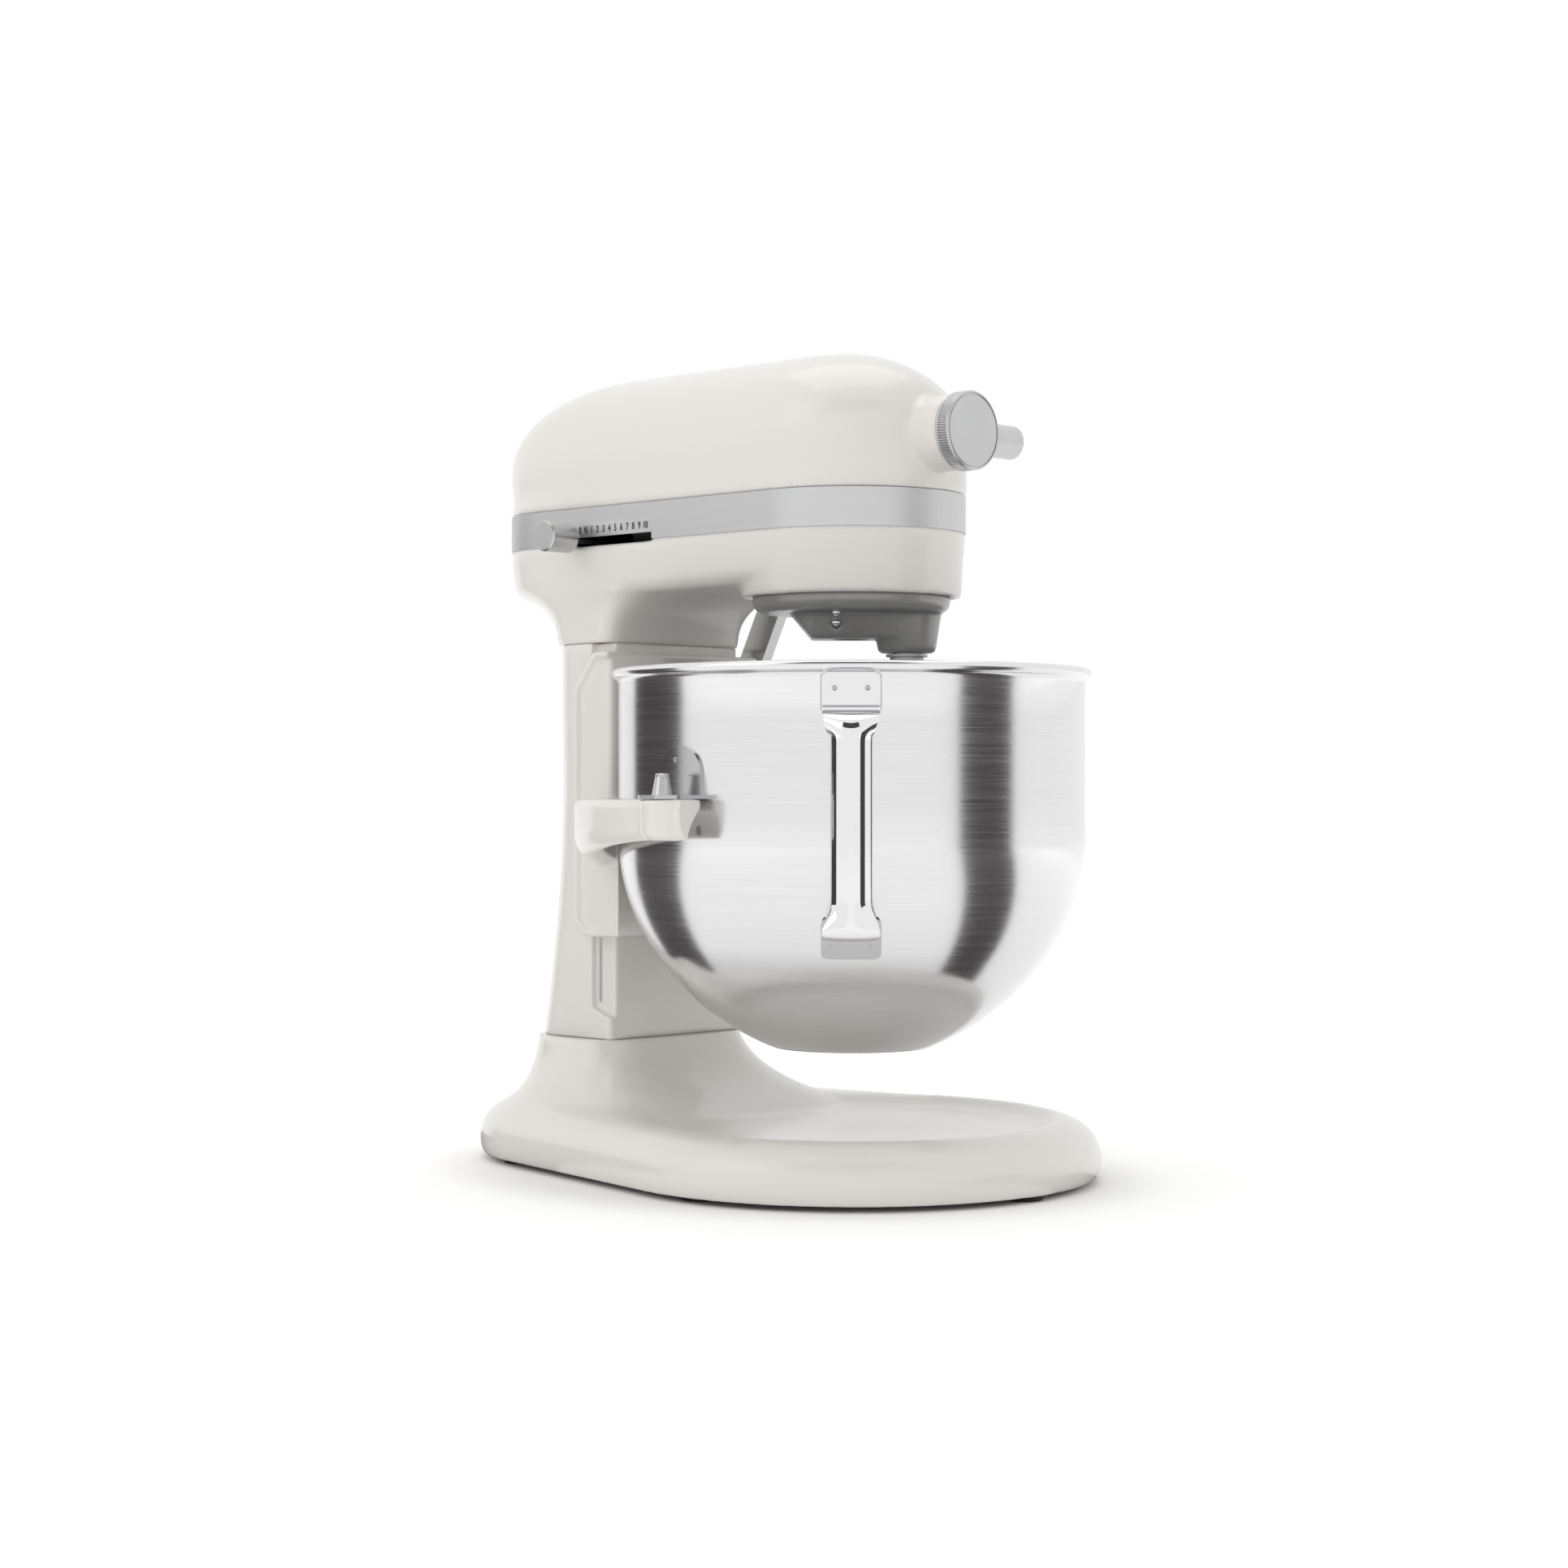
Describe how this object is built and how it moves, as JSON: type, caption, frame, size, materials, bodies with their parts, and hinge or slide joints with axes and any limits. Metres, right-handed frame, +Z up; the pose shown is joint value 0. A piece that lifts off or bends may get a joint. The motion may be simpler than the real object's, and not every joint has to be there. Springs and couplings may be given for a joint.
{
  "type": "stand mixer",
  "caption": "Bowl-lift stand mixer: a domed motor head on a column and base, with a steel bowl on a sliding yoke, a planetary drive and a front attachment hub.",
  "frame": {"origin": "on the surface that the feet stand on, under the middle of the mixer's footprint", "axes": "+Z up, +X from the column towards the bowl and the attachment hub, -Y the speed lever's side"},
  "size_m": [0.3532, 0.286, 0.4169],
  "materials": {
    "paint": "satin gloss cream enamel on die cast metal",
    "rubber": "moulded",
    "band_steel": "horizontal brushed",
    "steel_parts": "machined",
    "bronze": "sintered bearing bronze",
    "gear_steel": "hobbed",
    "laminations": "laminated electrical steel",
    "copper": "turned",
    "black_plastic": "moulded",
    "planet_enamel": "grey metallic enamel",
    "satin_metal": "satin",
    "bowl_steel": "fine circumferential grain",
    "polished_steel": "mirror polished"
  },
  "bodies": {
    "stand": {"base_casting": "paint", "column_casting": "paint", "lower_housing": "paint", "upper_housing": "paint", "trim_band": "band_steel", "rubber_feet": "rubber", "foot_posts": "steel_parts", "column_bolts": "steel_parts", "housing_screws": "steel_parts", "guide_strips": "steel_parts", "centre_bearing": "bronze", "hub_bearing": "bronze", "hub_sleeve": "gear_steel", "ring_gear": "gear_steel", "wheel_bearing": "bronze", "motor_stator": "laminations", "motor_bracket": "steel_parts", "rear_bearing": "bronze", "gear_plate": "steel_parts", "front_bearing": "bronze", "control_board": "black_plastic", "cord_grommet": "rubber", "lift_bush": "bronze"},
    "motor_rotor": {"rotor_core": "laminations", "commutator": "copper", "worm_shaft": "steel_parts", "cooling_fan": "black_plastic"},
    "worm_gear": {"worm_wheel": "bronze", "drive_pinion": "gear_steel", "gear_shaft": "steel_parts"},
    "planetary": {"planetary_casting": "planet_enamel", "centre_shaft": "steel_parts", "centre_gear": "gear_steel", "centre_bevel": "gear_steel", "planet_pins": "steel_parts"},
    "beater_spindle": {"beater_shaft": "steel_parts", "drive_pin": "steel_parts", "planet_pinion": "gear_steel", "shaft_washers": "steel_parts"},
    "hub_drive": {"hub_bevel": "gear_steel", "hub_shaft": "steel_parts"},
    "cap": {"hub_cap": "satin_metal"},
    "clamp_knob": {"attachment_knob": "satin_metal"},
    "speed_control": {"speed_lever": "black_plastic", "speed_knob": "satin_metal"},
    "yoke": {"bowl_support": "paint", "locating_pins": "polished_steel", "lift_carrier": "steel_parts", "latch_spring": "steel_parts"},
    "bowl": {"bowl_shell": "bowl_steel", "bowl_handle": "polished_steel", "handle_plates": "bowl_steel", "bowl_brackets": "bowl_steel"},
    "lift": {"lift_lever": "polished_steel", "lift_shaft": "steel_parts", "lift_crank": "steel_parts"}
  },
  "joints": [
    {"name": "planetary_turn", "type": "hinge", "parent": "stand", "child": "planetary", "pos_m": [0.0505, 0, 0.3], "axis": [0, 0, 1], "continuous": true},
    {"name": "beater_turn", "type": "hinge", "parent": "planetary", "child": "beater_spindle", "pos_m": [0.07064, 0.01945, 0.28], "axis": [0, 0, 1], "continuous": true},
    {"name": "worm_gear_turn", "type": "hinge", "parent": "stand", "child": "worm_gear", "pos_m": [0.01876, -0.0275, 0.33], "axis": [0, 0, 1], "continuous": true},
    {"name": "motor_turn", "type": "hinge", "parent": "stand", "child": "motor_rotor", "pos_m": [-0.0495, 0, 0.343], "axis": [1, 0, 0], "continuous": true},
    {"name": "hub_turn", "type": "hinge", "parent": "stand", "child": "hub_drive", "pos_m": [0.0805, 0, 0.3711], "axis": [1, 0, 0], "continuous": true},
    {"name": "lift_lever_swing", "type": "hinge", "parent": "stand", "child": "lift", "pos_m": [-0.0905, 0.06, 0.232], "axis": [0, 1, 0], "range_deg": [-90, 0]},
    {"name": "yoke_slide", "type": "slide", "parent": "stand", "child": "yoke", "axis": [0, 0, 1], "range_m": [-0.0382, 0]},
    {"name": "bowl_lift_off", "type": "slide", "parent": "yoke", "child": "bowl", "axis": [0, 0, 1], "range_m": [0, 0.018]},
    {"name": "speed_slide", "type": "slide", "parent": "stand", "child": "speed_control", "axis": [1, 0, 0], "range_m": [0, 0.046]},
    {"name": "cap_pull", "type": "slide", "parent": "stand", "child": "cap", "axis": [1, 0, 0], "range_m": [0, 0.03]},
    {"name": "clamp_knob_turn", "type": "hinge", "parent": "stand", "child": "clamp_knob", "pos_m": [0.1105, 0.03, 0.3711], "axis": [0, 1, 0], "range_deg": [0, 1440]}
  ],
  "couplings": [
    {"joint": "beater_turn", "follows": "planetary_turn", "ratio": -2.7778},
    {"joint": "worm_gear_turn", "follows": "planetary_turn", "ratio": -2.5},
    {"joint": "motor_turn", "follows": "planetary_turn", "ratio": -65},
    {"joint": "hub_turn", "follows": "planetary_turn", "ratio": 1.5},
    {"joint": "lift_lever_swing", "follows": "yoke_slide", "rad_per_m": 41.12}
  ]
}
